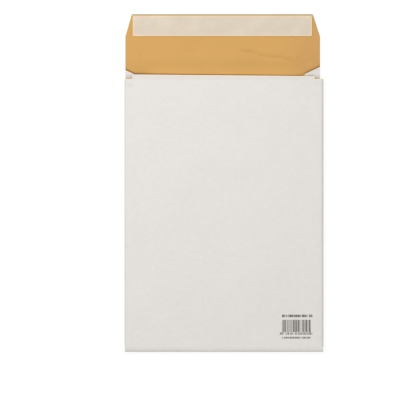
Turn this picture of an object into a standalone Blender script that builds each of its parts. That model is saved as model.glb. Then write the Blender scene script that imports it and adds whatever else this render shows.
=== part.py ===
"""A padded gusset envelope, C4 size, lying empty on its address side with the flap open.

The envelope is a web of three plies, folded from one flat blank: a white kraft outer
sheet, a cushioning layer and a golden kraft liner. The blank runs from the flap over the
address panel and round the bottom fold to the top panel. Each side of the top panel
carries a gusset, pleated inward, whose last leaf is glued down inside the address panel.

Every ply is made by the same route: a grid of stations over the blank, each with a place
on the white face and the direction into the web, and two surfaces at two depths.
Metres, +Z up, +Y towards the flap, origin under the middle of the envelope.
"""

import math

import bmesh
import bpy

# Sizes of the folded envelope
BODY_WIDTH = 0.2290
BODY_LENGTH = 0.3240
FLAP_LENGTH = 0.0645
GUSSET_DEPTH = 0.0220

# The web, from its white face inward
OUTER_PLY = 0.00035
PADDING_PLY = 0.00130
LINER_PLY = 0.00030
PLY_GAP = 0.00025
LEAF_GAP = 0.00030

# The top panel
MOUTH_SETBACK = 0.0047
NOTCH_DEPTH = 0.0045
NOTCH_SLANT = 0.0010
CROWN = 0.0022

# The flap
SHOULDER_LENGTH = 0.0395

# Lengths over which the web thins
STEP_AT_FLAP = 0.0150
SEAL_AT_EDGE = 0.0110
PADDING_SETBACK = 0.0012
THIN_SHARE = 0.39

# The lower ends of the gussets
GUSSET_RELIEF = 0.0008
GUSSET_MITRE = 0.30

# The two strips on the flap
STRIP_THICK = 0.00015
RELEASE_WIDTH = 0.0233
RELEASE_END_MARGIN = 0.0009
RELEASE_SETBACK = 0.0012
ADHESIVE_WIDTH = 0.0150
ADHESIVE_END_MARGIN = 0.0060
STRIP_CORNER = 0.0012

# Left and right sides: the address panel's setback from the fold, the flap's taper past its
# shoulder, the notch's width, and the gusset's slanted end, by its slope and by how far it
# stands past the top panel's edge at its cut edge
SIDES = {
    -1: {
        "seam_setback": 0.0009,
        "taper": 0.0075,
        "notch_width": 0.0093,
        "ear_height": 0.0056,
        "ear_slope": 0.46,
    },
    1: {
        "seam_setback": 0.0037,
        "taper": 0.0083,
        "notch_width": 0.0100,
        "ear_height": 0.0094,
        "ear_slope": 0.48,
    },
}

# How finely the folds and the crown are divided
SIDE_FOLD_STEPS = 6
CREASE_STEPS = 4
BOTTOM_FOLD_STEPS = 8
PANEL_STEPS = 6
LOWER_ROWS = (0.35, 0.70, 1.0)
END_ROWS = (0.25, 0.50, 0.75, 1.0)
UPPER_ROWS = (0.0, 0.06, 0.15, 0.28, 0.46, 0.66, 0.83, 0.93, 1.0)

# Worked out from the sizes above
HALF_WIDTH = BODY_WIDTH / 2
FULL_LENGTH = BODY_LENGTH + FLAP_LENGTH
BOTTOM_Y = -FULL_LENGTH / 2
FLAP_TOP_Y = FULL_LENGTH / 2
CREASE_Y = FLAP_TOP_Y - FLAP_LENGTH
MOUTH_Y = CREASE_Y - MOUTH_SETBACK
SHOULDER_Y = CREASE_Y + SHOULDER_LENGTH
SEALED_WEB = OUTER_PLY + PLY_GAP + LINER_PLY
PADDED_STEP = PADDING_PLY + PLY_GAP
PADDED_WEB = SEALED_WEB + PADDED_STEP
SIDE_RADIUS = PADDED_WEB + LEAF_GAP / 2
STACK_HEIGHT = 4 * PADDED_WEB + 3 * LEAF_GAP
BOTTOM_RADIUS = STACK_HEIGHT / 2
FOLD_START_X = HALF_WIDTH - SIDE_RADIUS
GUSSET_X = HALF_WIDTH - GUSSET_DEPTH + LEAF_GAP / 2
FOLD_END_Y = BOTTOM_Y + BOTTOM_RADIUS
GUSSET_END_Y = FOLD_END_Y + GUSSET_RELIEF
NOTCH_Y = MOUTH_Y - NOTCH_DEPTH
LAST_ROW_Y = NOTCH_Y - SEAL_AT_EDGE / 2


def clamp(value):
    """The value held between 0 and 1."""
    return min(1.0, max(0.0, value))


def smooth(value):
    """An even S-curve from 0 to 1."""
    t = clamp(value)
    return t * t * (3 - 2 * t)


def between(a, b, share):
    """The value at a share of the way from a to b."""
    return a + (b - a) * share


def stack_loft(y):
    """How full the padding is under a place: 1 in the body, 0 on the flap."""
    return 1 - smooth((y - (CREASE_Y - STEP_AT_FLAP)) / STEP_AT_FLAP)


def web_height(y):
    """Thickness of one web of three plies."""
    return SEALED_WEB + PADDED_STEP * stack_loft(y)


def crown_at(x, y):
    """How far the top panel is bowed up over the pocket."""
    across = 1 - abs(x / HALF_WIDTH) ** 2.5
    from_bottom = smooth((y - BOTTOM_Y) / (BODY_LENGTH * 0.30))
    past_mouth = 1 - smooth((y - MOUTH_Y) / STEP_AT_FLAP)
    return CROWN * max(0.0, across) * from_bottom * past_mouth


def bow(x, y, z):
    """A point of the flat stack, raised by the crown above the address panel's web."""
    floor = web_height(y)
    ceiling = 4 * floor + 3 * LEAF_GAP
    return x, y, z + crown_at(x, y) * clamp((z - floor) / (ceiling - floor))


def edge_x(side, y):
    """The cut side edge of the flap and of the address panel."""
    straight = HALF_WIDTH - SIDES[side]["seam_setback"]
    past_shoulder = clamp((y - SHOULDER_Y) / (FLAP_TOP_Y - SHOULDER_Y))
    return straight - SIDES[side]["taper"] * past_shoulder


def ear_end(side, x):
    """Where the gusset's glued leaf ends towards the flap, at a distance from the middle."""
    cut = SIDES[side]
    outside = HALF_WIDTH - cut["seam_setback"]
    return MOUTH_Y + cut["ear_height"] - cut["ear_slope"] * (outside - x)


def sealed_loft(y, end):
    """How full the padding is, less near the web's cut end."""
    return min(stack_loft(y), smooth((end - y) / SEAL_AT_EDGE))


def panel_places():
    """Places across the top panel, from its left fold to its right, with the notch ends."""
    notches = []
    for side, cut in SIDES.items():
        inside = HALF_WIDTH - cut["notch_width"]
        notches += [side * inside, side * (inside - NOTCH_SLANT)]
    reach = min(abs(x) for x in notches)
    even = [reach * (2 * i / PANEL_STEPS - 1) for i in range(1, PANEL_STEPS)]
    return sorted([-FOLD_START_X, FOLD_START_X, *notches, *even])


def mouth_end(x):
    """Where the top panel ends towards the flap."""
    side = 1 if x > 0 else -1
    inside = HALF_WIDTH - SIDES[side]["notch_width"]
    return NOTCH_Y if abs(x) > inside - NOTCH_SLANT / 2 else MOUTH_Y


def side_fold(angle):
    """The turn under the top panel's side: x, z and the way inward, at a given y."""

    def place(y):
        radius = web_height(y) + LEAF_GAP / 2
        middle = 4 * web_height(y) + 3 * LEAF_GAP - radius
        out, up = math.sin(angle), math.cos(angle)
        return HALF_WIDTH - radius + radius * out, middle + radius * up, -out, -up

    return place


def inner_leaf(x):
    """The gusset's leaf under the top panel, white face down."""
    return lambda y: (x, 2 * web_height(y) + 2 * LEAF_GAP, 0.0, 1.0)


def pleat(angle):
    """The crease between the gusset's two leaves, white faces together."""

    def place(y):
        middle = 2 * web_height(y) + 1.5 * LEAF_GAP
        out, up = math.sin(angle), math.cos(angle)
        return GUSSET_X - LEAF_GAP / 2 * out, middle + LEAF_GAP / 2 * up, -out, up

    return place


def glued_leaf(x):
    """The gusset's leaf on the address panel, white face up."""
    return lambda y: (x, 2 * web_height(y) + LEAF_GAP, 0.0, -1.0)


class Ply:
    """One ply of the folded web, as a closed solid.

    near and far give the depth of its two faces below the white face, from the loft of
    the padding there. The padding is trimmed: it stops short of every cut edge, and where
    the plies on both sides of it close up.
    """

    def __init__(self, name, near, far, trimmed=False):
        self.name = name
        self.depths = (near, far)
        self.trimmed = trimmed
        self.trim = PADDING_SETBACK if trimmed else 0.0

    def end(self, y):
        """Where a column that is cut at y ends for this ply."""
        if not self.trimmed:
            return y
        return min(y - SEAL_AT_EDGE * THIN_SHARE, CREASE_Y - STEP_AT_FLAP * THIN_SHARE)

    def row_y(self, kind, value, start, cut):
        """The y of a row above the bottom fold, in a column with its own two ends."""
        if kind == "start":
            return start
        return value if kind == "upper" else between(LAST_ROW_Y, self.end(cut), value)

    def rows(self):
        """Rows from the flap's end, over the bottom fold, to the mouth: a kind and a value."""
        shares = (THIN_SHARE, 0.6, 0.8, 1.0) if self.trimmed else (0.0, 0.2, 0.4, 0.6, 0.8, 1.0)
        step = [CREASE_Y - STEP_AT_FLAP * share for share in shares]
        flap = [] if self.trimmed else [FLAP_TOP_Y, SHOULDER_Y]
        panel = [between(step[-1], FOLD_END_Y, share) for share in LOWER_ROWS]
        turn = [math.pi * i / BOTTOM_FOLD_STEPS for i in range(1, BOTTOM_FOLD_STEPS + 1)]
        first = GUSSET_END_Y + GUSSET_MITRE * 2 * GUSSET_DEPTH + PADDING_SETBACK * 2
        found = [("lower", y) for y in flap + step + panel]
        found += [("fold", angle) for angle in turn]
        found += [("start", 0.0)]
        found += [("upper", between(first, LAST_ROW_Y, share)) for share in UPPER_ROWS]
        return found + [("end", share) for share in END_ROWS]

    def gusset_columns(self, side):
        """Columns from the top panel's side to the gusset's cut edge: place, start and end."""
        outside = HALF_WIDTH - SIDES[side]["seam_setback"]
        crease_end = ear_end(side, GUSSET_X)
        leaf = FOLD_START_X - GUSSET_X
        turns = [math.pi * i / SIDE_FOLD_STEPS for i in range(1, SIDE_FOLD_STEPS + 1)]
        columns = [(side_fold(angle), 0.0, NOTCH_Y) for angle in turns]
        for share in (0.50, 0.88):
            end = between(NOTCH_Y, crease_end, share**3)
            columns.append((inner_leaf(FOLD_START_X - leaf * share), leaf * share, end))
        creases = [math.pi * i / CREASE_STEPS for i in range(CREASE_STEPS + 1)]
        columns += [(pleat(angle), leaf, crease_end) for angle in creases]
        for share in (0.33, 0.67, 1.0):
            x = between(GUSSET_X, outside - self.trim, share)
            columns.append((glued_leaf(x), leaf + x - GUSSET_X, ear_end(side, x)))
        return columns

    def panel_point(self, kind, value, x, depth):
        """A point of the flap, the address panel, the bottom fold or the top panel."""
        side = 1 if x > 0 else -1
        share = abs(x) / FOLD_START_X
        if kind == "lower":
            x = side * share * (edge_x(side, value) - self.trim)
            return bow(x, value, depth(stack_loft(value)))
        if kind == "fold":
            arm = BOTTOM_RADIUS - depth(1.0)
            widening = smooth(2 * value / math.pi)
            wide = between(edge_x(side, BOTTOM_Y), HALF_WIDTH - LEAF_GAP, widening)
            y = FOLD_END_Y - arm * math.sin(value)
            z = BOTTOM_RADIUS - arm * math.cos(value)
            return bow(side * share * (wide - self.trim), y, z)
        cut = mouth_end(x)
        y = self.row_y(kind, value, GUSSET_END_Y, cut)
        height = 4 * web_height(y) + 3 * LEAF_GAP
        x = side * share * (HALF_WIDTH - web_height(y) - LEAF_GAP / 2)
        return bow(x, y, height - depth(sealed_loft(y, cut)))

    def gusset_point(self, kind, value, side, column, depth):
        """A point of one gusset."""
        place, run, cut = column
        start = GUSSET_END_Y + GUSSET_MITRE * run + self.trim
        y = self.row_y(kind, value, start, cut)
        x, z, inward_x, inward_z = place(y)
        deep = depth(sealed_loft(y, cut))
        return bow(side * (x + inward_x * deep), y, z + inward_z * deep)

    def surface(self, mesh, depth):
        """The vertices of one face of the ply, by column and row."""
        sides = {side: self.gusset_columns(side) for side in (-1, 1)}
        columns = [(-1, column) for column in reversed(sides[-1])]
        columns += [(0, x) for x in panel_places()]
        columns += [(1, column) for column in sides[1]]
        found = {}
        for j, (kind, value) in enumerate(self.rows()):
            for i, (side, what) in enumerate(columns):
                if side == 0:
                    point = self.panel_point(kind, value, what, depth)
                elif kind in ("lower", "fold"):
                    continue
                else:
                    point = self.gusset_point(kind, value, side, what, depth)
                found[i, j] = mesh.verts.new(point)
        for i, j in found:
            corners = [(i, j), (i + 1, j), (i + 1, j + 1), (i, j + 1)]
            if all(corner in found for corner in corners):
                mesh.faces.new([found[corner] for corner in corners])
        return found

    def build(self):
        """The ply as an object: its two faces, joined round the rim."""
        mesh = bmesh.new()
        near, far = [self.surface(mesh, depth) for depth in self.depths]
        place = {vertex: at for at, vertex in near.items()}
        for edge in [edge for edge in mesh.edges if edge.is_boundary]:
            a, b = edge.verts
            if a in place:
                mesh.faces.new([a, b, far[place[b]], far[place[a]]])
        bmesh.ops.recalc_face_normals(mesh, faces=mesh.faces)
        return finish(mesh, self.name)


def finish(mesh, name):
    """The mesh as a named object, smooth apart from its cut edges."""
    data = bpy.data.meshes.new(name)
    mesh.to_mesh(data)
    mesh.free()
    data.shade_smooth()
    data.set_sharp_from_angle(angle=math.radians(50))
    item = bpy.data.objects.new(name, data)
    bpy.context.scene.collection.objects.link(item)
    return item


def strip(name, width, setback, end_margin, bottom):
    """A thin strip across the flap, with its corners rounded a little."""
    top = FLAP_TOP_Y - setback
    reach = {side: edge_x(side, FLAP_TOP_Y) - end_margin for side in (-1, 1)}
    mesh = bmesh.new()
    corners = [(-reach[-1], top - width), (reach[1], top - width), (reach[1], top), (-reach[-1], top)]
    face = mesh.faces.new([mesh.verts.new((x, y, bottom)) for x, y in corners])
    bmesh.ops.bevel(
        mesh,
        geom=list(face.verts),
        offset=STRIP_CORNER,
        segments=3,
        profile=0.5,
        affect="VERTICES",
    )
    grown = bmesh.ops.extrude_face_region(mesh, geom=list(mesh.faces))
    lifted = [part for part in grown["geom"] if isinstance(part, bmesh.types.BMVert)]
    bmesh.ops.translate(mesh, verts=lifted, vec=(0, 0, STRIP_THICK))
    bmesh.ops.recalc_face_normals(mesh, faces=mesh.faces)
    return finish(mesh, name)


def material(name, colour, roughness):
    """A plain paper-like finish."""
    made = bpy.data.materials.new(name)
    made.use_nodes = True
    shader = made.node_tree.nodes["Principled BSDF"]
    shader.inputs["Base Color"].default_value = (*colour, 1.0)
    shader.inputs["Roughness"].default_value = roughness
    shader.inputs["Metallic"].default_value = 0.0
    made.diffuse_color = (*colour, 1.0)
    return made


def outer_sheet():
    """The white blank: flap, address panel, bottom fold, top panel and both gussets."""
    item = Ply("outer_sheet", lambda loft: 0.0, lambda loft: OUTER_PLY).build()
    item.data.materials.append(material("white_kraft", (0.80, 0.78, 0.75), 0.75))


def padding():
    """The cushioning web, which stops before the flap, the mouth and the cut edges."""
    skin = OUTER_PLY + PLY_GAP
    item = Ply(
        "padding",
        lambda loft: skin,
        lambda loft: skin + PADDED_STEP * loft - PLY_GAP,
        trimmed=True,
    ).build()
    item.data.materials.append(material("cushion_web", (0.62, 0.58, 0.52), 0.9))


def kraft_liner():
    """The golden blank inside it, which shows on the flap."""
    skin = OUTER_PLY + PLY_GAP
    item = Ply(
        "kraft_liner",
        lambda loft: skin + PADDED_STEP * loft,
        lambda loft: skin + PADDED_STEP * loft + LINER_PLY,
    ).build()
    item.data.materials.append(material("golden_kraft", (0.69, 0.39, 0.13), 0.8))


def adhesive_strip():
    """The band of glue along the end of the flap."""
    middle = RELEASE_SETBACK + RELEASE_WIDTH / 2
    setback = middle - ADHESIVE_WIDTH / 2
    bottom = SEALED_WEB + PLY_GAP
    item = strip("adhesive_strip", ADHESIVE_WIDTH, setback, ADHESIVE_END_MARGIN, bottom)
    item.data.materials.append(material("glue_band", (0.80, 0.74, 0.60), 0.35))


def release_strip():
    """The peel-off strip over the glue."""
    bottom = SEALED_WEB + STRIP_THICK + 2 * PLY_GAP
    item = strip("release_strip", RELEASE_WIDTH, RELEASE_SETBACK, RELEASE_END_MARGIN, bottom)
    item.data.materials.append(material("release_paper", (0.74, 0.64, 0.50), 0.45))


def main():
    """Build the envelope's five pieces."""
    for item in list(bpy.data.objects):
        bpy.data.objects.remove(item)
    outer_sheet()
    padding()
    kraft_liner()
    adhesive_strip()
    release_strip()


main()
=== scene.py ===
"""The padded gusset envelope, dressed: papers, creases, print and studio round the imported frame.

The web is laid out again at a finer pitch than in the frame, with the same sizes, and every
ply of it then runs through one Geometry Nodes tree, which lays the slow swell of the
padding, its fine dimples and the creases of the flap into the paper. All plies move
together there, so they stay as far apart as they are in the frame.

Metres, +Z up, +Y towards the flap, origin under the middle of the envelope.
"""

from __future__ import annotations

import logging
import math
from collections.abc import Callable, Iterator
from dataclasses import dataclass, field
from enum import Enum
from typing import Protocol

import bpy
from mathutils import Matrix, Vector

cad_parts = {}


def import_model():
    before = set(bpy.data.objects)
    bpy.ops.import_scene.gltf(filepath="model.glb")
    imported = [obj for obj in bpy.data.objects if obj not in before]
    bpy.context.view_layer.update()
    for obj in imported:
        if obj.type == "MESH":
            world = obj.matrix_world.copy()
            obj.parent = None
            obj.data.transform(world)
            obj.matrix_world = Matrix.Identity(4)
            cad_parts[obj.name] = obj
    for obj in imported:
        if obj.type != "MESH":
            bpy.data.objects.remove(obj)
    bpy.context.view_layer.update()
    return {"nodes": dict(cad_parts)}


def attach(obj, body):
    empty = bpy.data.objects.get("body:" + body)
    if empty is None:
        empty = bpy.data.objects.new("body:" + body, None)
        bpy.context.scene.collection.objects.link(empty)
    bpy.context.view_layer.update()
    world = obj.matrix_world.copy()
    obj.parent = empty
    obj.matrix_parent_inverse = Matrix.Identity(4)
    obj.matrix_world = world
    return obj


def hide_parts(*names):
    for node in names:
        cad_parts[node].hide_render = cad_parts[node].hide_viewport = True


LOG = logging.getLogger("envelope")
BODY = "root"

Point = tuple[float, float, float]
Place = tuple[float, float, float, float]
Colour = tuple[float, float, float, float]
Station = tuple[Point, float, float]
Depth = Callable[[float], float]
Settings = dict[str, object]
Sockets = dict[str | int, object]

MIDDLE = 0.5
MM_PER_METRE = 1000
SHARP_ANGLE = math.radians(50)

# The Mix node's sockets share their names, so its colours are found by number
MIX_COLOURS = (6, 7)
MIXED_COLOUR = 2


# Small sums


def clamp(value: float) -> float:
    """The value held between 0 and 1."""
    return min(1.0, max(0.0, value))


def smooth(value: float) -> float:
    """An even S-curve from 0 to 1."""
    t = clamp(value)
    return t * t * (3 - 2 * t)


def between(a: float, b: float, share: float) -> float:
    """The value at a share of the way from a to b."""
    return a + (b - a) * share


def shares(count: int, first: int = 1) -> list[float]:
    """Even shares up to 1, from first / count on."""
    return [i / count for i in range(first, count + 1)]


def filled(breaks: list[float], pitch: float) -> list[float]:
    """Values from the first break to the last, no further apart than the pitch.

    Args:
        breaks: Values that have to be met exactly, in order.
        pitch: The widest step between two values.

    Returns:
        The breaks, with even steps between them.
    """
    found = [breaks[0]]
    for start, stop in zip(breaks, breaks[1:]):
        count = max(1, math.ceil(abs(stop - start) / pitch))
        found += [between(start, stop, share) for share in shares(count)]
    return found


# Nodes


def adding(operation: str, reflected: bool = False) -> Callable[..., Wire]:
    """A method of Wire that adds one Math node.

    Args:
        operation: Blender's name of the operation.
        reflected: Whether the other value comes first, as in 1 - wire.

    Returns:
        The method, which takes the node's other values.
    """

    def method(self: Wire, *others: Wire | float) -> Wire:
        """Add the node, and return its output."""
        values = (*others, self) if reflected else (self, *others)
        settings = {"operation": operation}
        return self.bench.wire("ShaderNodeMath", settings, dict(enumerate(values)))

    return method


@dataclass(frozen=True, eq=False)
class Wire:
    """A node's output that takes part in Python sums, each of which adds its Math node."""

    bench: Bench
    socket: bpy.types.NodeSocket

    __add__, __radd__ = adding("ADD"), adding("ADD", reflected=True)
    __sub__, __rsub__ = adding("SUBTRACT"), adding("SUBTRACT", reflected=True)
    __mul__, __rmul__ = adding("MULTIPLY"), adding("MULTIPLY", reflected=True)
    __truediv__, __rtruediv__ = adding("DIVIDE"), adding("DIVIDE", reflected=True)
    __lt__, __gt__ = adding("LESS_THAN"), adding("GREATER_THAN")
    sine = adding("SINE")
    part = adding("FRACT")
    size = adding("ABSOLUTE")
    power_of_e = adding("EXPONENT")
    at_least = adding("MAXIMUM")

    def ramp(self, start: float, stop: float) -> Wire:
        """An S-curve from 0 at start to 1 at stop, which may be the lower of the two."""
        settings = {"interpolation_type": "SMOOTHSTEP"}
        if start < stop:
            sockets = {"Value": self, "From Min": start, "From Max": stop}
            return self.bench.wire("ShaderNodeMapRange", settings, sockets)
        sockets = {"Value": self, "From Min": stop, "From Max": start}
        return 1 - self.bench.wire("ShaderNodeMapRange", settings, sockets)


class Bench:
    """Puts nodes into one tree."""

    def __init__(self, tree: bpy.types.NodeTree) -> None:
        """Keep the tree."""
        self.tree = tree

    def node(
        self, kind: str, settings: Settings | None = None, sockets: Sockets | None = None
    ) -> bpy.types.Node:
        """Add a node.

        Args:
            kind: Blender's type of the node.
            settings: Its properties, which are set before its inputs.
            sockets: Its inputs by name or number, each a value or a wire.

        Returns:
            The node.
        """
        made = self.tree.nodes.new(kind)
        for name, value in (settings or {}).items():
            setattr(made, name, value)
        for name, value in (sockets or {}).items():
            if isinstance(value, Wire):
                self.tree.links.new(value.socket, made.inputs[name])
            else:
                made.inputs[name].default_value = value
        return made

    def wire(
        self,
        kind: str,
        settings: Settings | None = None,
        sockets: Sockets | None = None,
        output: str | int = 0,
    ) -> Wire:
        """Add a node, as node() does, and return one of its outputs."""
        return Wire(self, self.node(kind, settings, sockets).outputs[output])


def cleared(owner: bpy.types.Material | bpy.types.World) -> bpy.types.NodeTree:
    """The node tree of a material or a world, emptied."""
    owner.use_nodes = True
    owner.node_tree.nodes.clear()
    return owner.node_tree


def in_scene(name: str, data: bpy.types.ID | None) -> bpy.types.Object:
    """A new object with that data, in the scene."""
    item = bpy.data.objects.new(name, data)
    bpy.context.scene.collection.objects.link(item)
    return item


@dataclass(frozen=True)
class Grain:
    """A noise in a finish, and how far it moves the tone and the relief.

    scale is how many of its waves make a metre, detail how many finer layers it has.
    """

    scale: float
    detail: float = 2.0
    stretch: Point = (1.0, 1.0, 1.0)
    tone: float = 0.0
    relief: float = 0.0


@dataclass(frozen=True)
class Band:
    """Where a tint starts and where it is full, along some measure, and its share there."""

    start: float
    full: float
    share: float = 1.0

    def ramp(self, measure: Wire) -> Wire:
        """From 0 where the band starts to 1 where it is full."""
        return measure.ramp(self.start, self.full)

    def on(self, measure: Wire) -> Wire:
        """From 0 where the band starts to its share where it is full."""
        return self.ramp(measure) * self.share


class Surface(Bench):
    """A material on the bench, with what paper finishes share."""

    def __init__(self, name: str) -> None:
        """Start an empty material of that name."""
        self.material = bpy.data.materials.new(name)
        super().__init__(cleared(self.material))
        self.object = self.wire("ShaderNodeTexCoord", output="Object")

    def along(self) -> tuple[Wire, Wire, Wire]:
        """The three Object coordinates."""
        split = self.node("ShaderNodeSeparateXYZ", sockets={0: self.object})
        return tuple(Wire(self, output) for output in split.outputs)

    def attribute(self, name: str) -> Wire:
        """A number that the mesh carries."""
        return self.wire("ShaderNodeAttribute", {"attribute_name": name}, output="Fac")

    def noise(self, grain: Grain) -> Wire:
        """Noise on Object coordinates, from about -0.5 to 0.5."""
        sockets = {"Vector": self.object, "Scale": grain.stretch}
        mapped = self.wire("ShaderNodeMapping", sockets=sockets)
        sockets = {"Vector": mapped, "Scale": grain.scale, "Detail": grain.detail}
        return self.wire("ShaderNodeTexNoise", sockets=sockets) - MIDDLE

    def waves(self, measure: Wire, pitch: float, sway: Grain) -> Wire:
        """Even waves from -1 to 1 along a measure, which a noise sways."""
        return (measure * (2 * math.pi / pitch) + self.noise(sway) * sway.tone).sine()

    def mix(self, share: Wire, one: object, two: object) -> Wire:
        """A colour between two, each a wire or four numbers."""
        sockets = {0: share, MIX_COLOURS[0]: one, MIX_COLOURS[1]: two}
        return self.wire("ShaderNodeMix", {"data_type": "RGBA"}, sockets, output=MIXED_COLOUR)

    def lit(self, colour: object, level: Wire) -> Wire:
        """A colour times a number."""
        settings = {"operation": "SCALE"}
        return self.wire("ShaderNodeVectorMath", settings, {0: colour, "Scale": level})

    def relief(self, height: Wire, depth: float) -> Wire:
        """A normal from a height, which counts in shares of a depth in metres."""
        sockets = {"Strength": 1.0, "Distance": depth, "Height": height}
        return self.wire("ShaderNodeBump", sockets=sockets, output="Normal")

    def finish(self, **sockets: object) -> bpy.types.Material:
        """Close the material with one Principled shader.

        Args:
            sockets: Its inputs, with _ for each space in their names.

        Returns:
            The material.
        """
        named = {name.replace("_", " "): value for name, value in sockets.items()}
        shader = self.wire("ShaderNodeBsdfPrincipled", sockets=named)
        self.node("ShaderNodeOutputMaterial", sockets={"Surface": shader})
        return self.material


def opaque(red: float, green: float, blue: float) -> Colour:
    """A linear colour of four numbers, from sRGB values up to 255."""
    linear = [
        value / 12.92 if value <= 0.04045 else ((value + 0.055) / 1.055) ** 2.4
        for value in (red / 255, green / 255, blue / 255)
    ]
    return (*linear, 1.0)


# Finishes


class Finish(Protocol):
    """What every finish has: the name of its slot, and a material."""

    name: str

    def material(self) -> bpy.types.Material:
        """The finish, as a material."""


@dataclass(frozen=True)
class Row:
    """One row of the print: its place on the panel, and its strokes."""

    left: float
    right: float
    top: float
    bottom: float
    per_metre: float
    unevenness: float
    share: float
    ink: float
    seed: float


@dataclass(frozen=True)
class ShelfPrint:
    """The print at the lower right of the top panel: upright bars between rows of dashes.

    The strokes are random and stand for nothing.
    """

    above: float = 0.006
    bars: Row = Row(0.0670, 0.0999, -0.1571, -0.1713, 800.0, 3.2, 0.58, 1.0, 43.0)
    dashes: tuple[Row, ...] = (
        Row(0.0668, 0.1018, -0.1512, -0.1542, 430.0, 2.2, 0.74, 0.92, 5.0),
        Row(0.0640, 0.1030, -0.1717, -0.1744, 520.0, 1.6, 0.60, 0.78, 12.0),
        Row(0.0670, 0.0996, -0.1767, -0.1789, 470.0, 2.0, 0.78, 0.80, 19.0),
    )
    guard_width: float = 0.0009
    guard_bottom: float = -0.1732
    guard_ink: float = 0.6
    wander: float = 0.7

    def inked(self, paper: Surface) -> Wire:
        """How much ink lies on a place, from 0 to 1."""
        x, y, z = paper.along()
        bars = self.bars
        guards = (x < bars.left + self.guard_width).at_least(x > bars.right - self.guard_width)
        guards = guards * (x > bars.left) * (x < bars.right)
        ink = guards * (y > self.guard_bottom) * (y < bars.bottom) * self.guard_ink
        for row in (bars, *self.dashes):
            inside = (x > row.left) * (x < row.right) * (y > row.bottom) * (y < row.top)
            ink = ink.at_least(self.strokes(paper, row, x) * inside)
        return ink * (z > self.above)

    def strokes(self, paper: Surface, row: Row, x: Wire) -> Wire:
        """Strokes of uneven width and spacing, from the row's left end on."""
        run = (x - row.left) * row.per_metre
        sockets = {"W": run * self.wander + row.seed, "Scale": 1.0, "Detail": 2.0}
        draw = paper.wire("ShaderNodeTexNoise", {"noise_dimensions": "1D"}, sockets)
        return ((run + draw * row.unevenness).part() < row.share) * row.ink


@dataclass(frozen=True)
class WhiteKraft:
    """Matt white bleached kraft with the padding's mottle, painted shade at folds and edges, and a
    painted pale highlight along its cut edges.
    """

    name: str = "white_kraft"
    paper: Colour = opaque(232, 228, 223)
    # Painted shade colour for the rounded side folds
    folded: Colour = opaque(228, 226, 222)
    rubbed: Colour = opaque(250, 248, 243)
    # Painted highlight colour for the cut edges
    cut: Colour = opaque(246, 225, 197)
    ink: Colour = opaque(56, 49, 42)
    tucked: Colour = opaque(150, 143, 134)
    mottle: Grain = Grain(210.0, tone=0.075, relief=0.5)
    cloud: Grain = Grain(28.0, tone=0.035)
    fibre: Grain = Grain(1400.0, 3.0, (1.0, 0.45, 1.0), tone=0.06, relief=0.14)
    fold: Band = Band(0.1118, 0.1140, 0.75)
    fold_cloud: float = 0.8
    rub: Band = Band(-0.1890, -0.1926, 0.9)
    press: Band = Band(0.0120, 0.0040, 0.045)
    edge: Band = Band(0.0023, 0.000805, 0.85)
    ear: Band = Band(0.0900, 0.0950, 0.6)
    ear_to: float = 0.1045
    tuck: Band = Band(0.0018, 0.00072, 0.72)
    notch: Band = Band(0.0070, 0.0018, 0.22)
    ink_share: float = 0.88
    ink_fibre: float = 0.3
    roughness: float = 0.78
    unevenness: float = 0.1
    depth: float = 0.00030
    gloss: float = 0.3

    def material(self) -> bpy.types.Material:
        """The finish, as a material."""
        paper = Surface(self.name)
        x, y, _ = paper.along()
        across = x.size()
        mottle, cloud, fibre = map(paper.noise, (self.mottle, self.cloud, self.fibre))
        # Painted shade: darker and greyer along the rounded side folds, made uneven by the cloud
        # noise
        fold_shade = self.fold.ramp(across) * (self.fold.share + cloud * self.fold_cloud)
        colour = paper.mix(fold_shade, self.paper, self.folded)
        # Lighter towards the bottom fold
        colour = paper.mix(self.rub.on(y), colour, self.rubbed)
        tone = 1 + mottle * self.mottle.tone + cloud * self.cloud.tone + fibre * self.fibre.tone
        rim = paper.attribute("edge")
        # Painted shade: a little darker within about 12 mm of a cut edge
        colour = paper.lit(colour, tone - self.press.on(rim))
        # Painted highlight: a pale cream band along the cut edges, weaker over the ears
        over_ear = self.ear.ramp(across) * (across < self.ear_to)
        pale = self.edge.ramp(rim) * (self.edge.share - over_ear * self.ear.share)
        colour = paper.mix(pale, colour, self.cut)
        # Painted shade: grey just past the edge that covers the paper, and a softer painted shade
        # in the notches beside the ears
        past = paper.attribute("past")
        notch = self.notch.ramp(past) * (1 - over_ear) * self.notch.share
        colour = paper.mix(self.tuck.on(past).at_least(notch), colour, self.tucked)
        ink = ShelfPrint().inked(paper) * (self.ink_share + fibre * self.ink_fibre)
        colour = paper.mix(ink, colour, self.ink)
        height = mottle * self.mottle.relief + fibre * self.fibre.relief
        return paper.finish(
            Base_Color=colour,
            Roughness=self.roughness + fibre * self.unevenness,
            Normal=paper.relief(height, self.depth),
            Specular_IOR_Level=self.gloss,
        )


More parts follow.
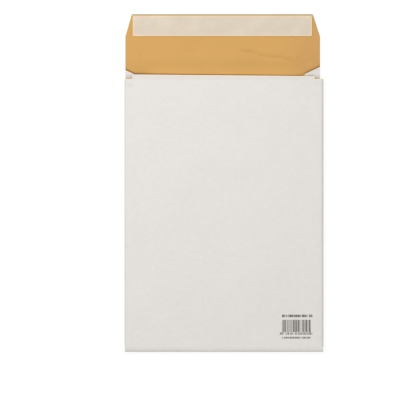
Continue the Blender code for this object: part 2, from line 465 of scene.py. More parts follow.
@dataclass(frozen=True)
class GoldenKraft:
    """Matt golden kraft with a faint rib along the web and darker edges, painted shade in its
    valley creases, towards the right and under edges, and a painted highlight on its ridges.
    """

    name: str = "golden_kraft"
    paper: Colour = opaque(215, 166, 94)
    shaded: Colour = opaque(207, 159, 94)
    creased: Colour = opaque(178, 130, 70)
    raised: Colour = opaque(228, 178, 92)
    tucked: Colour = opaque(118, 78, 40)
    cut: Colour = opaque(192, 160, 112)
    end: Colour = opaque(203, 188, 157)
    cloud: Grain = Grain(26.0, 3.0, tone=0.09)
    fibre: Grain = Grain(1100.0, 3.0, (1.0, 0.3, 1.0), tone=0.07, relief=0.25)
    patch: Grain = Grain(95.0, 1.0)
    rib_pitch: float = 0.0011
    rib_sway: Grain = Grain(45.0, tone=9.0)
    rib_tone: float = 0.007
    rib_relief: float = 0.06
    right: Band = Band(0.055, 0.112, 0.75)
    rub: Band = Band(0.0140, 0.0, 0.14)
    beside: Band = Band(0.0780, 0.0980)
    valley: float = 0.22
    valley_patch: float = 0.6
    ridge: float = 0.8
    edge: Band = Band(0.0011, 0.00033, 0.8)
    far_end: Band = Band(0.1926, 0.1933, 0.9)
    shade: Band = Band(0.0042, 0.0, 0.5)
    tuck: Band = Band(0.0015, 0.0006, 0.95)
    gape: Band = Band(-0.0200, -0.0900, 0.00025)
    pocket: Band = Band(-0.0140, -0.0040)
    roughness: float = 0.72
    unevenness: float = 0.12
    depth: float = 0.00010
    gloss: float = 0.3

    def material(self) -> bpy.types.Material:
        """The finish, as a material."""
        paper = Surface(self.name)
        x, y, _ = paper.along()
        cloud, fibre, patch = map(paper.noise, (self.cloud, self.fibre, self.patch))
        rib = paper.waves(x, self.rib_pitch, self.rib_sway)
        # Painted shade: darker towards the right, where the lamp's light falls off
        colour = paper.mix(self.right.on(x), self.paper, self.shaded)
        tone = 1 + cloud * self.cloud.tone + fibre * self.fibre.tone + rib * self.rib_tone
        colour = paper.lit(colour, tone)
        past = paper.attribute("past")
        beside = self.beside.ramp(x.size())
        # Lighter from 14 mm past the top panel's edge inwards, but not beside the ears
        colour = paper.lit(colour, 1 + self.rub.on(past) * (1 - beside))
        # Painted shade in the valley creases, patchy along them
        valley = paper.attribute("valley") * (self.valley + patch * self.valley_patch)
        colour = paper.mix(valley, colour, self.creased)
        # Painted highlight on the raised creases
        ridge = paper.attribute("ridge") * (self.ridge + patch)
        colour = paper.mix(ridge, colour, self.raised)
        colour = paper.mix(self.edge.on(paper.attribute("edge")), colour, self.cut)
        colour = paper.mix(self.far_end.on(y), colour, self.end)
        # Painted shadow under the top panel's edge, wider towards the left where the panel stands
        # off more, with a softer painted shade beside the ears; it fades out deeper in the pocket
        tuck = self.tuck.on(past - self.gape.on(x)).at_least(self.shade.on(past) * beside)
        colour = paper.mix(tuck * self.pocket.ramp(past), colour, self.tucked)
        height = rib * self.rib_relief + fibre * self.fibre.relief
        return paper.finish(
            Base_Color=colour,
            Roughness=self.roughness + fibre * self.unevenness,
            Normal=paper.relief(height, self.depth),
            Specular_IOR_Level=self.gloss,
        )


@dataclass(frozen=True)
class CushionPaper:
    """Soft grey-buff cushioning tissue, crimped in fine waves."""

    name: str = "cushion_web"
    light: Colour = opaque(206, 199, 188)
    dark: Colour = opaque(176, 168, 155)
    fibre: Grain = Grain(900.0, 4.0)
    crimp_pitch: float = 0.0026
    crimp_sway: Grain = Grain(120.0, tone=4.0)
    crimp_tone: float = 0.15
    crimp_relief: float = 0.4
    roughness: float = 0.92
    depth: float = 0.00025

    def material(self) -> bpy.types.Material:
        """The finish, as a material."""
        paper = Surface(self.name)
        _, y, _ = paper.along()
        fibre = paper.noise(self.fibre)
        crimp = paper.waves(y, self.crimp_pitch, self.crimp_sway)
        share = fibre + MIDDLE + crimp * self.crimp_tone
        return paper.finish(
            Base_Color=paper.mix(share, self.dark, self.light),
            Roughness=self.roughness,
            Normal=paper.relief(crimp * self.crimp_relief + fibre, self.depth),
        )


@dataclass(frozen=True)
class Glue:
    """A tacky, slightly streaked film of glue."""

    name: str = "glue_band"
    body: Colour = opaque(228, 216, 190)
    streaked: Colour = opaque(214, 198, 164)
    streaks: Grain = Grain(240.0, 3.0, (0.15, 1.0, 1.0))
    roughness: float = 0.30
    unevenness: float = 0.2
    depth: float = 0.00008

    def material(self) -> bpy.types.Material:
        """The finish, as a material."""
        film = Surface(self.name)
        streaks = film.noise(self.streaks)
        return film.finish(
            Base_Color=film.mix(streaks + MIDDLE, self.body, self.streaked),
            Roughness=self.roughness + streaks * self.unevenness,
            Normal=film.relief(streaks, self.depth),
        )


@dataclass(frozen=True)
class ReleasePaper:
    """Smooth cream peel-off paper with a low sheen and a painted pale highlight along its edges.
    """

    name: str = "release_paper"
    paper: Colour = opaque(218, 203, 182)
    cloudy: Colour = opaque(211, 197, 177)
    slit: Colour = opaque(240, 208, 168)
    cloud: Grain = Grain(70.0, 3.0, tone=1.6)
    cloud_share: float = 0.35
    fibre: Grain = Grain(1300.0, tone=0.03, relief=0.15)
    edge: Band = Band(0.0022, 0.00066, 0.8)
    roughness: float = 0.46
    unevenness: float = 0.15
    depth: float = 0.00016
    sheen: float = 0.04

    def material(self) -> bpy.types.Material:
        """The finish, as a material."""
        paper = Surface(self.name)
        cloud, fibre = map(paper.noise, (self.cloud, self.fibre))
        share = (cloud * self.cloud.tone + self.cloud_share).at_least(0.0)
        colour = paper.mix(share, self.paper, self.cloudy)
        colour = paper.lit(colour, 1 + fibre * self.fibre.tone)
        # Painted highlight: a paler cream band along the strip's edges
        colour = paper.mix(self.edge.on(paper.attribute("edge")), colour, self.slit)
        return paper.finish(
            Base_Color=colour,
            Roughness=self.roughness + cloud * self.unevenness,
            Normal=paper.relief(cloud + fibre * self.fibre.relief, self.depth),
            Coat_Weight=self.sheen,
        )


# The folded web


class Zone(Enum):
    """Which stretch of the blank a row of stations lies in."""

    LOWER = "flap and address panel"
    TURN = "bottom fold"
    START = "slanted start of the gussets"
    UPPER = "top panel"
    END = "pressed edge at the mouth"


@dataclass(frozen=True)
class Side:
    """How one side of the envelope is cut."""

    seam_setback: float
    taper: float
    notch_width: float
    ear_height: float
    ear_slope: float


@dataclass(frozen=True)
class Column:
    """One column of stations on a gusset: its place at a given y, and its two ends."""

    place: Callable[[float], Place]
    run: float
    cut: float


@dataclass
class Blank:
    """The sizes of the folded envelope, as in the frame, and where its web lies."""

    body_width: float = 0.2290
    body_length: float = 0.3240
    flap_length: float = 0.0645
    gusset_depth: float = 0.0220
    outer_ply: float = 0.00035
    padding_ply: float = 0.00130
    liner_ply: float = 0.00030
    ply_gap: float = 0.00025
    leaf_gap: float = 0.00030
    mouth_setback: float = 0.0047
    mouth_drop: float = 0.0004
    mouth_skew: float = 0.0089
    flap_extra: float = 0.0011
    notch_depth: float = 0.0045
    notch_slant: float = 0.0010
    crown: float = 0.0022
    crown_power: float = 2.5
    crown_rise: float = 0.30
    shoulder_length: float = 0.0395
    step_at_flap: float = 0.0150
    seal_at_edge: float = 0.0110
    gusset_relief: float = 0.0008
    gusset_mitre: float = 0.30
    padding_setback: float = 0.0012
    flap_rise: float = 0.0160
    left: Side = Side(0.0009, 0.0075, 0.0093, 0.0056, 0.46)
    right: Side = Side(0.0037, 0.0083, 0.0100, 0.0094, 0.48)

    half_width: float = field(init=False)
    bottom_y: float = field(init=False)
    flap_top_y: float = field(init=False)
    crease_y: float = field(init=False)
    mouth_y: float = field(init=False)
    shoulder_y: float = field(init=False)
    sealed_web: float = field(init=False)
    padded_step: float = field(init=False)
    bottom_radius: float = field(init=False)
    fold_start_x: float = field(init=False)
    gusset_x: float = field(init=False)
    fold_end_y: float = field(init=False)
    gusset_end_y: float = field(init=False)
    first_row_y: float = field(init=False)
    notch_y: float = field(init=False)
    last_row_y: float = field(init=False)

    def __post_init__(self) -> None:
        """Work out the sizes that follow from the others."""
        top = (self.body_length + self.flap_length) / 2
        self.half_width = self.body_width / 2
        self.flap_top_y = top + self.flap_extra
        self.bottom_y = -top
        self.crease_y = top - self.flap_length
        self.mouth_y = self.crease_y - self.mouth_setback
        self.shoulder_y = self.crease_y + self.shoulder_length
        self.sealed_web = self.outer_ply + self.ply_gap + self.liner_ply
        self.padded_step = self.padding_ply + self.ply_gap
        web = self.sealed_web + self.padded_step
        self.bottom_radius = (4 * web + 3 * self.leaf_gap) / 2
        self.fold_start_x = self.half_width - web - self.leaf_gap / 2
        self.gusset_x = self.half_width - self.gusset_depth + self.leaf_gap / 2
        self.fold_end_y = self.bottom_y + self.bottom_radius
        self.gusset_end_y = self.fold_end_y + self.gusset_relief
        mitre = self.gusset_mitre * 2 * self.gusset_depth
        self.first_row_y = self.gusset_end_y + mitre + 2 * self.padding_setback
        self.notch_y = self.mouth_y - self.notch_depth
        self.last_row_y = self.notch_y - self.seal_at_edge / 2

    def side(self, sign: int) -> Side:
        """The cut of the left side, -1, or of the right one, 1."""
        return self.left if sign < 0 else self.right

    def stack_loft(self, y: float) -> float:
        """How full the padding is under a place: 1 in the body, 0 on the flap."""
        return 1 - smooth((y - self.crease_y + self.step_at_flap) / self.step_at_flap)

    def sealed_loft(self, y: float, end: float) -> float:
        """How full the padding is, less near the web's cut end."""
        return min(self.stack_loft(y), smooth((end - y) / self.seal_at_edge))

    def web(self, y: float) -> float:
        """Thickness of one web of three plies."""
        return self.sealed_web + self.padded_step * self.stack_loft(y)

    def stack(self, y: float) -> float:
        """Height of the four webs that lie over each other at the sides."""
        return 4 * self.web(y) + 3 * self.leaf_gap

    def lift(self, y: float, z: float) -> float:
        """How much of the top panel's bow a height takes part in, from 0 to 1."""
        floor = self.web(y)
        return clamp((z - floor) / (self.stack(y) - floor))

    def crown_at(self, x: float, y: float) -> float:
        """How far the top panel is bowed up over the pocket."""
        across = 1 - abs(x / self.half_width) ** self.crown_power
        from_bottom = smooth((y - self.bottom_y) / (self.body_length * self.crown_rise))
        past_mouth = 1 - smooth((y - self.mouth_y) / self.step_at_flap)
        return self.crown * max(0.0, across) * from_bottom * past_mouth

    def edge_x(self, sign: int, y: float) -> float:
        """The cut side edge of the flap and of the address panel."""
        straight = self.half_width - self.side(sign).seam_setback
        past = clamp((y - self.shoulder_y) / (self.flap_top_y - self.shoulder_y))
        return straight - self.side(sign).taper * past

    def ear_end(self, sign: int, x: float) -> float:
        """Where the gusset's glued leaf ends towards the flap."""
        cut = self.side(sign)
        outside = self.half_width - cut.seam_setback
        return self.mouth_y + cut.ear_height - cut.ear_slope * (outside - x)

    def on_flap(self, y: float) -> float:
        """0 in the body and 1 on the flap, with a soft rise between."""
        return smooth((y - self.crease_y) / self.flap_rise)

    def covered_to(self, x: float) -> float:
        """Where the top panel or the gusset's ear stops covering the address panel."""
        if abs(x) < self.gusset_x:
            return self.mouth_edge(x)
        return max(self.mouth_edge(x), self.ear_end(1 if x > 0 else -1, abs(x)))

    def mouth_edge(self, x: float) -> float:
        """The top panel's long edge, which is cut half a degree askew."""
        return self.mouth_y - self.mouth_drop - self.mouth_skew * x

    def mouth_end(self, x: float) -> float:
        """Where the top panel ends towards the flap."""
        inside = self.half_width - self.side(1 if x > 0 else -1).notch_width
        return self.notch_y if abs(x) > inside - self.notch_slant / 2 else self.mouth_edge(x)

    def side_fold(self, angle: float) -> Callable[[float], Place]:
        """The turn under the top panel's side: x, z and the way inward, at a given y."""

        def place(y: float) -> Place:
            radius = self.web(y) + self.leaf_gap / 2
            out, up = math.sin(angle), math.cos(angle)
            x = self.half_width - radius + radius * out
            return x, self.stack(y) - radius + radius * up, -out, -up

        return place

    def inner_leaf(self, x: float) -> Callable[[float], Place]:
        """The gusset's leaf under the top panel, white face down."""
        return lambda y: (x, 2 * self.web(y) + 2 * self.leaf_gap, 0.0, 1.0)

    def pleat(self, angle: float) -> Callable[[float], Place]:
        """The crease between the gusset's two leaves, white faces together."""

        def place(y: float) -> Place:
            middle = 2 * self.web(y) + 1.5 * self.leaf_gap
            out, up = math.sin(angle), math.cos(angle)
            half_gap = self.leaf_gap / 2
            return self.gusset_x - half_gap * out, middle + half_gap * up, -out, up

        return place

    def glued_leaf(self, x: float) -> Callable[[float], Place]:
        """The gusset's leaf on the address panel, white face up."""
        return lambda y: (x, 2 * self.web(y) + self.leaf_gap, 0.0, -1.0)


class Sheet:
    """A closed sheet in the making: two skins of points in columns and rows."""

    def __init__(self) -> None:
        """Start without points."""
        self.points: list[Point] = []
        self.numbers: dict[str, list[float]] = {}
        self.skins: list[dict[tuple[int, int], int]] = []

    def add(self, place: tuple[int, int], point: Point, **numbers: float) -> None:
        """Add a point to the last skin, by its column and row, with numbers that it carries."""
        self.skins[-1][place] = len(self.points)
        self.points.append(point)
        for key, value in numbers.items():
            self.numbers.setdefault(key, []).append(value)

    def faces(self) -> list[tuple[int, ...]]:
        """The faces of both skins, and a rim that joins their free edges."""
        near, far = self.skins
        found: list[tuple[int, ...]] = []
        rim: dict[tuple[tuple[int, int], tuple[int, int]], None] = {}
        for i, j in near:
            corners = [(i, j), (i + 1, j), (i + 1, j + 1), (i, j + 1)]
            if not all(corner in near for corner in corners):
                continue
            found.append(tuple(near[corner] for corner in corners))
            found.append(tuple(far[corner] for corner in reversed(corners)))
            for a, b in zip(corners, corners[1:] + corners[:1]):
                if (b, a) in rim:
                    del rim[b, a]
                else:
                    rim[a, b] = None
        return found + [(near[b], near[a], far[a], far[b]) for a, b in rim]

    def build(self, name: str) -> bpy.types.Object:
        """A smooth mesh object with sharp cut edges, in the scene."""
        data = bpy.data.meshes.new(name)
        data.from_pydata(self.points, [], self.faces())
        for key, values in self.numbers.items():
            data.attributes.new(key, "FLOAT", "POINT").data.foreach_set("value", values)
        data.shade_smooth()
        data.set_sharp_from_angle(angle=SHARP_ANGLE)
        return in_scene(name, data)


@dataclass
class Ply:
    """One ply of the folded web, as a closed mesh.

    near and far give the depth of its two faces below the white face, from the loft of
    the padding there. A trimmed ply stops short of every cut edge, by its own setbacks.
    """

    name: str
    blank: Blank
    near: Depth
    far: Depth
    trimmed: bool = False
    thin_share: float = 0.39
    column_pitch: float = 0.0018
    leaf_pitch: float = 0.0018
    flap_pitch: float = 0.0012
    step_pitch: float = 0.0015
    address_pitch: float = 0.0085
    panel_pitch: float = 0.0021
    turn_steps: int = 12
    side_fold_steps: int = 8
    leaf_shares: tuple[float, ...] = (0.25, 0.50, 0.75, 0.90)
    pleat_steps: int = 6
    start_steps: int = 5
    end_steps: int = 14
    far_off: float = 0.0200

    @property
    def trim(self) -> float:
        """How far the ply stops short of a side edge."""
        return self.blank.padding_setback if self.trimmed else 0.0

    def end(self, cut: float) -> float:
        """Where a column that is cut there ends for this ply."""
        blank = self.blank
        if not self.trimmed:
            return cut
        thin = blank.crease_y - blank.step_at_flap * self.thin_share
        return min(cut - blank.seal_at_edge * self.thin_share, thin)

    def rows(self) -> list[tuple[Zone, float]]:
        """Rows from the flap's end, over the bottom fold, to the mouth."""
        blank = self.blank
        thin = blank.crease_y - blank.step_at_flap
        if self.trimmed:
            first = between(blank.crease_y, thin, self.thin_share)
            lower = filled([first, thin], self.step_pitch)
        else:
            lower = filled([blank.flap_top_y, blank.shoulder_y, blank.crease_y], self.flap_pitch)
            lower += filled([blank.crease_y, thin], self.step_pitch)[1:]
        lower += filled([thin, blank.fold_end_y], self.address_pitch)[1:]
        found = [(Zone.LOWER, y) for y in lower]
        found += [(Zone.TURN, math.pi * share) for share in shares(self.turn_steps)]
        found += [(Zone.START, share) for share in shares(self.start_steps, 0)[:-1]]
        upper = filled([blank.first_row_y, blank.last_row_y], self.panel_pitch)
        found += [(Zone.UPPER, y) for y in upper]
        return found + [(Zone.END, share) for share in shares(self.end_steps)]

    def row_y(self, zone: Zone, value: float, start: float, cut: float) -> float:
        """The y of a row above the bottom fold.

        Args:
            zone: The stretch that the row lies in.
            value: Its y, or its share of that stretch.
            start: Where the column starts.
            cut: Where the column is cut.

        Returns:
            The y of the station.
        """
        if zone is Zone.START:
            return between(start, self.blank.first_row_y, value)
        if zone is Zone.UPPER:
            return value
        return between(self.blank.last_row_y, self.end(cut), value)

    def panel_places(self) -> list[float]:
        """Places across the top panel, from its left fold to its right."""
        blank = self.blank
        breaks = [-blank.fold_start_x, blank.fold_start_x]
        for sign in (-1, 1):
            inside = blank.half_width - blank.side(sign).notch_width
            breaks += [sign * inside, sign * (inside - blank.notch_slant)]
        return filled(sorted(breaks), self.column_pitch)

    def gusset_columns(self, sign: int) -> list[Column]:
        """Columns from the top panel's side to the gusset's cut edge."""
        blank = self.blank
        outside = blank.half_width - blank.side(sign).seam_setback
        crease_end = blank.ear_end(sign, blank.gusset_x)
        leaf = blank.fold_start_x - blank.gusset_x
        columns = [
            Column(blank.side_fold(math.pi * share), 0.0, blank.notch_y)
            for share in shares(self.side_fold_steps)
        ]
        for share in self.leaf_shares:
            place = blank.inner_leaf(blank.fold_start_x - leaf * share)
            end = between(blank.notch_y, crease_end, share**3)
            columns.append(Column(place, leaf * share, end))
        columns += [
            Column(blank.pleat(math.pi * share), leaf, crease_end)
            for share in shares(self.pleat_steps, 0)
        ]
        notch = blank.half_width - blank.side(sign).notch_width
        breaks = [blank.gusset_x, notch - blank.notch_slant, notch, outside - self.trim]
        for x in filled(breaks, self.leaf_pitch)[1:]:
            place = blank.glued_leaf(x)
            columns.append(Column(place, leaf + x - blank.gusset_x, blank.ear_end(sign, x)))
        return columns

    def panel_point(self, zone: Zone, value: float, x: float, depth: Depth) -> Station:
        """A station of the flap, the address panel, the bottom fold or the top panel.

        Args:
            zone: The stretch that the row lies in.
            value: The row's value.
            x: The column's place on the top panel.
            depth: The face's depth below the white face.

        Returns:
            The point before the bow, its distance to the nearest cut edge, and how far it
            lies past the edge that covers the paper there.
        """
        blank = self.blank
        sign = 1 if x > 0 else -1
        share = abs(x) / blank.fold_start_x
        if zone is Zone.LOWER:
            wide = blank.edge_x(sign, value)
            point = (sign * share * (wide - self.trim), value, depth(blank.stack_loft(value)))
            edge = min(wide - abs(point[0]), blank.flap_top_y - value)
            return point, edge, value - blank.covered_to(point[0])
        if zone is Zone.TURN:
            arm = blank.bottom_radius - depth(1.0)
            seam = blank.edge_x(sign, blank.bottom_y)
            wide = between(seam, blank.half_width - blank.leaf_gap, smooth(2 * value / math.pi))
            y = blank.fold_end_y - arm * math.sin(value)
            z = blank.bottom_radius - arm * math.cos(value)
            return (sign * share * (wide - self.trim), y, z), self.far_off, self.far_off
        cut = blank.mouth_end(x)
        y = self.row_y(zone, value, blank.gusset_end_y, cut)
        z = blank.stack(y) - depth(blank.sealed_loft(y, cut))
        reach = blank.half_width - blank.web(y) - blank.leaf_gap / 2
        return (sign * share * reach, y, z), cut - y, self.far_off

    def gusset_point(
        self, zone: Zone, value: float, sign: int, column: Column, depth: Depth
    ) -> Station:
        """A station of one gusset, as panel_point gives it."""
        blank = self.blank
        start = blank.gusset_end_y + blank.gusset_mitre * column.run + self.trim
        y = self.row_y(zone, value, start, column.cut)
        x, z, inward_x, inward_z = column.place(y)
        deep = depth(blank.sealed_loft(y, column.cut))
        past = y - blank.mouth_end(sign * x) if column.run > blank.gusset_depth else self.far_off
        return (sign * (x + inward_x * deep), y, z + inward_z * deep), column.cut - y, past

    def stations(self, depth: Depth) -> Iterator[tuple[tuple[int, int], Station]]:
        """Every station of one face, with its column and row."""
        columns: list[tuple[int, Column | float]] = []
        columns += [(-1, column) for column in reversed(self.gusset_columns(-1))]
        columns += [(0, x) for x in self.panel_places()]
        columns += [(1, column) for column in self.gusset_columns(1)]
        for j, (zone, value) in enumerate(self.rows()):
            for i, (sign, what) in enumerate(columns):
                if sign == 0:
                    yield (i, j), self.panel_point(zone, value, what, depth)
                elif zone not in (Zone.LOWER, Zone.TURN):
                    yield (i, j), self.gusset_point(zone, value, sign, what, depth)

    def build(self) -> bpy.types.Object:
        """Lay out both faces and join them round the rim.

        Returns:
            The ply, with its lift, flap, edge and past numbers on its points.
        """
        blank = self.blank
        sheet = Sheet()
        for depth in (self.near, self.far):
            sheet.skins.append({})
            for place, ((x, y, z), edge, past) in self.stations(depth):
                lift = blank.lift(y, z)
                point = (x, y, z + blank.crown_at(x, y) * lift)
                edge = min(edge, self.far_off)
                sheet.add(place, point, lift=lift, flap=blank.on_flap(y), edge=edge, past=past)
        return sheet.build(self.name)


@dataclass
class Strip:
    """A thin strip across the flap, with rounded corners, fine enough to follow its creases."""

    name: str
    blank: Blank
    width: float
    setback: float
    end_margin: float
    bottom: float
    thick: float
    corner: float = 0.0012
    pitch: float = 0.0015
    corner_steps: int = 4

    def inset(self, y: float) -> float:
        """How far a rounded corner draws the end in, at a given y."""
        top = self.blank.flap_top_y - self.setback
        into = min(top - y, y - (top - self.width))
        if into >= self.corner:
            return 0.0
        return self.corner - math.sqrt(max(0.0, self.corner**2 - (self.corner - into) ** 2))

    def build(self) -> bpy.types.Object:
        """Lay the strip out in rows and columns, as a closed mesh."""
        blank = self.blank
        top = blank.flap_top_y - self.setback
        low = top - self.width
        left = -(blank.edge_x(-1, blank.flap_top_y) - self.end_margin)
        right = blank.edge_x(1, blank.flap_top_y) - self.end_margin
        turns = [math.pi / 2 * share for share in shares(self.corner_steps)]
        near = [self.corner * (1 - math.cos(turn)) for turn in turns]
        ys = [low, *[low + step for step in near]]
        ys += filled([low + self.corner, top - self.corner], self.pitch)[1:]
        ys += [top - step for step in reversed(near[:-1])] + [top]
        places = filled([0.0, 1.0], self.pitch / (right - left))
        sheet = Sheet()
        for z in (self.bottom + self.thick, self.bottom):
            sheet.skins.append({})
            for j, y in enumerate(ys):
                draw = self.inset(y)
                for i, share in enumerate(places):
                    x = between(left + draw, right - draw, share)
                    edge = max(0.0, min(top - y, y - low, x - left, right - x))
                    sheet.add((i, j), (x, y, z), lift=0.0, flap=blank.on_flap(y), edge=edge)
        return sheet.build(self.name)


# Creases and swell


@dataclass(frozen=True)
class Crease:
    """One crease of the flap: how far it stands up, or down if below 0, and its line."""

    rise: float
    line: tuple[tuple[float, float], ...]


@dataclass(frozen=True)
class Creases:
    """The creases of the flap, by their places on it in millimetres."""

    pitch: float = 0.0008
    end_share: float = 0.15
    end_slope: float = 6.0
    lines: tuple[Crease, ...] = (
        Crease(-1.0, (
            (14.6, 153.1), (21.6, 152.5), (31.9, 151.9), (36.5, 150.2), (43.4, 147.4),
            (55.0, 145.9), (64.2, 145.6), (71.1, 143.9), (78.0, 141.0), (83.8, 138.4),
            (85.0, 137.0),
        )),
        Crease(-0.80, ((85.6, 146.5), (87.9, 141.0), (88.4, 132.5))),
        Crease(-0.55, ((90.0, 144.0), (92.2, 139.0), (92.6, 135.0))),
        Crease(1.20, ((91.0, 131.0), (95.4, 134.0), (99.8, 136.6), (103.5, 138.4))),
        Crease(-0.60, ((-96.6, 150.7), (-96.9, 144.0), (-96.6, 136.5))),
        Crease(-0.40, ((-47.6, 150.9), (-40.0, 152.5), (-31.0, 152.3), (-28.0, 152.6))),
        Crease(-0.25, ((-29.2, 145.6), (-25.5, 141.0), (-24.6, 139.8))),
        Crease(0.45, ((-111.0, 134.0), (-104.0, 132.4), (-98.0, 131.6))),
    )

    def build(self) -> bpy.types.Object:
        """The lines as an object of edges at z = 0, with their rise on its points."""
        points: list[Point] = []
        edges: list[tuple[int, int]] = []
        rises: list[float] = []
        for crease in self.lines:
            first = len(points)
            for start, stop in zip(crease.line, crease.line[1:]):
                count = max(2, math.ceil(math.dist(start, stop) / MM_PER_METRE / self.pitch))
                for share in shares(count, 0)[:-1]:
                    x, y = (between(a, b, share) / MM_PER_METRE for a, b in zip(start, stop))
                    points.append((x, y, 0.0))
            last = len(points)
            for i in range(first, last):
                along = (i - first) / (last - 1 - first)
                to_end = min(along, 1 - along)
                rises.append(crease.rise * smooth(self.end_slope * to_end + self.end_share))
            edges += [(i, i + 1) for i in range(first, last - 1)]
        data = bpy.data.meshes.new("crease_lines")
        data.from_pydata(points, edges, [])
        data.attributes.new("rise", "FLOAT", "POINT").data.foreach_set("value", rises)
        return in_scene("crease_lines", data)


@dataclass
class PaperRelief:
    """The Geometry Nodes tree that lays swell, dimples and creases into every ply."""

    seed: float = 7.0
    dimple_seed: float = 3.0
    flutter_seed: float = 11.0
    loose_rise: float = 0.35
    wave: Band = Band(0.25, 0.75)
    sizes: dict[str, float] = field(
        default_factory=lambda: {
            "Swell Height": 0.0009,
            "Swell Size": 0.055,
            "Dimple Height": 0.00016,
            "Dimple Size": 0.0085,
            "Flap Height": 0.0009,
            "Flap Size": 0.048,
            "Crease Height": 0.00060,
            "Crease Reach": 0.0021,
        }
    )
    group: bpy.types.NodeTree = field(init=False)
    bench: Bench = field(init=False)
    keys: dict[str, str] = field(init=False, default_factory=dict)

    def __post_init__(self) -> None:
        """Build the tree."""
        self.group = bpy.data.node_groups.new("paper_relief", "GeometryNodeTree")
        self.group.is_modifier = True
        self.sizes["Seed"] = self.seed
        self.socket("Geometry", "Geometry", "OUTPUT")
        self.socket("Geometry", "Geometry")
        for name in self.sizes:
            self.keys[name] = self.socket(name, "Float")
        self.keys["Creases"] = self.socket("Creases", "Object")
        self.keys["Finish"] = self.socket("Finish", "Material")
        self.bench = Bench(self.group)
        self.wire_up()

    def socket(self, name: str, kind: str, way: str = "INPUT") -> str:
        """Give the tree an input or an output, and return its identifier."""
        made = self.group.interface.new_socket(name, in_out=way, socket_type=f"NodeSocket{kind}")
        return made.identifier

    def wire_up(self) -> None:
        """Add the tree's nodes."""
        bench = self.bench
        start = bench.node("NodeGroupInput")
        given = {output.name: Wire(bench, output) for output in start.outputs if output.name}
        flat = self.flattened(bench.wire("GeometryNodeInputPosition"))
        lift, flap = self.number("lift"), self.number("flap")

        seed = given["Seed"]
        swell = self.waves(flat, given["Swell Size"], seed)
        dimples = self.waves(flat, given["Dimple Size"], seed + self.dimple_seed)
        flutter = self.waves(flat, given["Flap Size"], seed + self.flutter_seed)
        dimples = dimples * given["Dimple Height"]
        body = (swell * given["Swell Height"] + dimples) * lift
        loose = (flutter + self.loose_rise) * given["Flap Height"] + dimples

        rise, nearness = self.crease(flat, given["Creases"], given["Crease Reach"])
        fold = rise * nearness * given["Crease Height"]
        over = (body + (loose + fold) * flap).at_least(0.0)
        offset = bench.wire("ShaderNodeCombineXYZ", sockets={"Z": over})
        sockets = {"Geometry": given["Geometry"], "Offset": offset}
        moved = bench.wire("GeometryNodeSetPosition", sockets=sockets)

        # Crease marks that the liner's painted crease shade and ridge highlight read
        line = nearness * nearness * nearness * flap
        marked = self.marked(moved, "valley", line * (0 - rise).at_least(0.0))
        marked = self.marked(marked, "ridge", line * rise.at_least(0.0))
        real = bench.wire("GeometryNodeRealizeInstances", sockets={"Geometry": marked})
        sockets = {"Geometry": real, "Material": given["Finish"]}
        dressed = bench.wire("GeometryNodeSetMaterial", sockets=sockets)
        bench.node("NodeGroupOutput", sockets={"Geometry": dressed})

    def marked(self, geometry: Wire, name: str, value: Wire) -> Wire:
        """The geometry with a number stored on its points, under that name."""
        settings = {"data_type": "FLOAT", "domain": "POINT"}
        sockets = {"Geometry": geometry, "Name": name, "Value": value}
        return self.bench.wire("GeometryNodeStoreNamedAttribute", settings, sockets)

    def flattened(self, place: Wire) -> Wire:
        """The place with its height left out."""
        settings = {"operation": "MULTIPLY"}
        return self.bench.wire("ShaderNodeVectorMath", settings, {0: place, 1: (1.0, 1.0, 0.0)})

    def number(self, name: str) -> Wire:
        """A number that the points carry."""
        settings = {"data_type": "FLOAT"}
        return self.bench.wire("GeometryNodeInputNamedAttribute", settings, {"Name": name})

    def waves(self, flat: Wire, size: Wire, seed: Wire) -> Wire:
        """Soft waves from 0 to 1, of the given size in metres."""
        sockets = {"Vector": flat, "W": seed, "Scale": 1 / size, "Detail": 1.0}
        noise = self.bench.wire("ShaderNodeTexNoise", {"noise_dimensions": "4D"}, sockets)
        return self.wave.ramp(noise)

    def crease(self, flat: Wire, lines: Wire, reach: Wire) -> tuple[Wire, Wire]:
        """The nearest crease: its rise, and a bell curve of how near it is."""
        sockets = {"Object": lines}
        info = self.bench.wire("GeometryNodeObjectInfo", sockets=sockets, output="Geometry")
        sockets = {"Geometry": info, "Source Position": flat}
        settings = {"target_element": "EDGES"}
        away = self.bench.wire("GeometryNodeProximity", settings, sockets, output="Distance")
        sockets = {"Geometry": info, "Sample Position": flat}
        nearest = self.bench.wire("GeometryNodeSampleNearest", {"domain": "POINT"}, sockets)
        settings = {"data_type": "FLOAT", "domain": "POINT"}
        sockets = {"Geometry": info, "Value": self.number("rise"), "Index": nearest}
        rise = self.bench.wire("GeometryNodeSampleIndex", settings, sockets)
        far = away / reach
        return rise, (0 - far * far).power_of_e()

    def bake(
        self, item: bpy.types.Object, creases: bpy.types.Object, finish: bpy.types.Material
    ) -> None:
        """Run a piece through the tree and keep the result as its mesh.

        Args:
            item: The piece.
            creases: The crease lines.
            finish: The piece's material.
        """
        modifier = item.modifiers.new("relief", "NODES")
        modifier.node_group = self.group
        for name, value in self.sizes.items():
            modifier[self.keys[name]] = value
        modifier[self.keys["Creases"]] = creases
        modifier[self.keys["Finish"]] = finish
        layout = bpy.context.evaluated_depsgraph_get()
        baked = bpy.data.meshes.new_from_object(
            item.evaluated_get(layout), preserve_all_data_layers=True, depsgraph=layout
        )
        item.modifiers.remove(modifier)
        item.data = baked
        baked.name = item.name


# The envelope


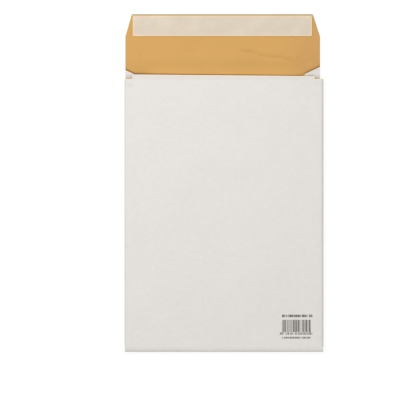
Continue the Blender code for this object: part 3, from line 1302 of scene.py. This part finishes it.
@dataclass
class PaddedEnvelope:
    """The folded web of three plies, and the two strips on its flap."""

    blank: Blank = field(default_factory=Blank)
    relief: PaperRelief = field(default_factory=PaperRelief)
    creases: Creases = Creases()
    strip_thick: float = 0.00015
    release_width: float = 0.0233
    release_end_margin: float = 0.0009
    release_setback: float = 0.0023
    adhesive_width: float = 0.0150
    adhesive_end_margin: float = 0.0060
    padding_fill: float = 0.35

    def plies(self) -> list[tuple[Ply, Finish, str]]:
        """The three plies from the white face inward, each with its finish and CAD node."""
        blank = self.blank
        skin = blank.outer_ply + blank.ply_gap
        step = blank.padded_step
        outer = Ply("white_outer_sheet", blank, lambda loft: 0.0, lambda loft: blank.outer_ply)
        cushion = Ply(
            "paper_cushioning",
            blank,
            lambda loft: skin,
            lambda loft: skin + step * loft - blank.ply_gap,
            trimmed=True,
        )
        liner = Ply(
            "golden_liner",
            blank,
            lambda loft: skin + step * loft,
            lambda loft: skin + step * loft + blank.liner_ply,
        )
        return [
            (outer, WhiteKraft(), "outer_sheet"),
            (cushion, CushionPaper(), "padding"),
            (liner, GoldenKraft(), "kraft_liner"),
        ]

    def strips(self) -> list[tuple[Strip, Finish, str]]:
        """The glue band and the release strip over it."""
        blank = self.blank
        middle = self.release_setback + self.release_width / 2
        lowest = blank.sealed_web + blank.ply_gap
        layer = self.strip_thick + blank.ply_gap
        glue = ("glue_line", self.adhesive_width, self.adhesive_end_margin, lowest)
        release = ("peel_off_strip", self.release_width, self.release_end_margin, lowest + layer)
        strips = [
            Strip(name, blank, width, middle - width / 2, margin, bottom, self.strip_thick)
            for name, width, margin, bottom in (glue, release)
        ]
        return list(zip(strips, (Glue(), ReleasePaper()), ("adhesive_strip", "release_strip")))

    def build(self) -> None:
        """Build, crease and dress every piece, attach it to the body, and hide the CAD node it
        stands for.
        """
        creases = self.creases.build()
        for maker, finish, node in [*self.plies(), *self.strips()]:
            item = maker.build()
            self.relief.bake(item, creases, finish.material())
            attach(item, BODY)
            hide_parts(node)
            LOG.info("%s: %d faces, for %s", item.name, len(item.data.polygons), node)
        bpy.data.objects.remove(creases)


# The studio


@dataclass
class Studio:
    """A white floor, soft light from the upper left, and the camera straight above."""

    view_x: float = -0.0276
    view_y: float = -0.0192
    view_width: float = 0.461
    view_plane: float = 0.006
    camera_height: float = 8.0
    sensor: float = 36.0
    floor_size: float = 12.0
    floor_bounce: float = 0.8
    floor_diffuse: float = 0.17
    floor_glow: float = 0.87
    sky: float = 0.56
    lamp_power: float = 20.1
    lamp_size: float = 0.9
    lamp_place: Point = (-0.4, 0.62, 1.7)

    def build(self) -> None:
        """Set up the floor, the lights and the camera."""
        self.floor()
        self.world()
        self.lamp()
        self.camera()
        bpy.context.scene.view_settings.view_transform = "Standard"

    def seen(self, bench: Bench) -> Wire:
        """1 where a ray comes from the camera, from gloss or through glass."""
        path = bench.node("ShaderNodeLightPath")
        rays = ("Is Camera Ray", "Is Glossy Ray", "Is Transmission Ray")
        camera, gloss, glass = (Wire(bench, path.outputs[ray]) for ray in rays)
        return camera.at_least(gloss).at_least(glass)

    def floor(self) -> None:
        """A wide white floor that keeps the envelope's shadow."""
        half = self.floor_size / 2
        data = bpy.data.meshes.new("floor")
        corners = [(-half, -half, 0), (half, -half, 0), (half, half, 0), (-half, half, 0)]
        data.from_pydata(corners, [], [(0, 1, 2, 3)])
        material = bpy.data.materials.new("floor_white")
        bench = Bench(cleared(material))
        plain, dim = (
            bench.wire("ShaderNodeBsdfDiffuse", sockets={"Color": (level, level, level, 1.0)})
            for level in (self.floor_bounce, self.floor_diffuse)
        )
        glow = bench.wire("ShaderNodeEmission", sockets={"Strength": self.floor_glow})
        shown = bench.wire("ShaderNodeAddShader", sockets={0: dim, 1: glow})
        seen = self.seen(bench)
        mixed = bench.wire("ShaderNodeMixShader", sockets={0: seen, 1: plain, 2: shown})
        bench.node("ShaderNodeOutputMaterial", sockets={"Surface": mixed})
        data.materials.append(material)
        in_scene("floor", data)

    def world(self) -> None:
        """Even light from all round, which shows as white."""
        world = bpy.data.worlds.new("studio")
        bench = Bench(cleared(world))
        strength = self.seen(bench) * (1 - self.sky) + self.sky
        shown = bench.wire("ShaderNodeBackground", sockets={"Strength": strength})
        bench.node("ShaderNodeOutputWorld", sockets={"Surface": shown})
        bpy.context.scene.world = world

    def lamp(self) -> None:
        """One broad soft lamp up at the left, over the flap's end."""
        data = bpy.data.lights.new("soft_lamp", "AREA")
        data.energy = self.lamp_power
        data.size = self.lamp_size
        item = in_scene("soft_lamp", data)
        item.location = self.lamp_place
        item.rotation_euler = (-Vector(self.lamp_place)).to_track_quat("-Z", "Y").to_euler()

    def camera(self) -> None:
        """A long lens that looks straight down."""
        data = bpy.data.cameras.new("camera")
        data.sensor_width = self.sensor
        data.lens = self.sensor * (self.camera_height - self.view_plane) / self.view_width
        item = in_scene("camera", data)
        item.location = (self.view_x, self.view_y, self.camera_height)
        bpy.context.scene.camera = item


def main() -> None:
    """Load the frame, build the envelope and the studio, and note the sizes."""
    logging.basicConfig(level=logging.INFO, format="%(name)s: %(message)s")
    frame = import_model()
    LOG.info("frame with %d nodes", len(frame["nodes"]))
    PaddedEnvelope().build()
    Studio().build()


if __name__ == "__main__":
    main()
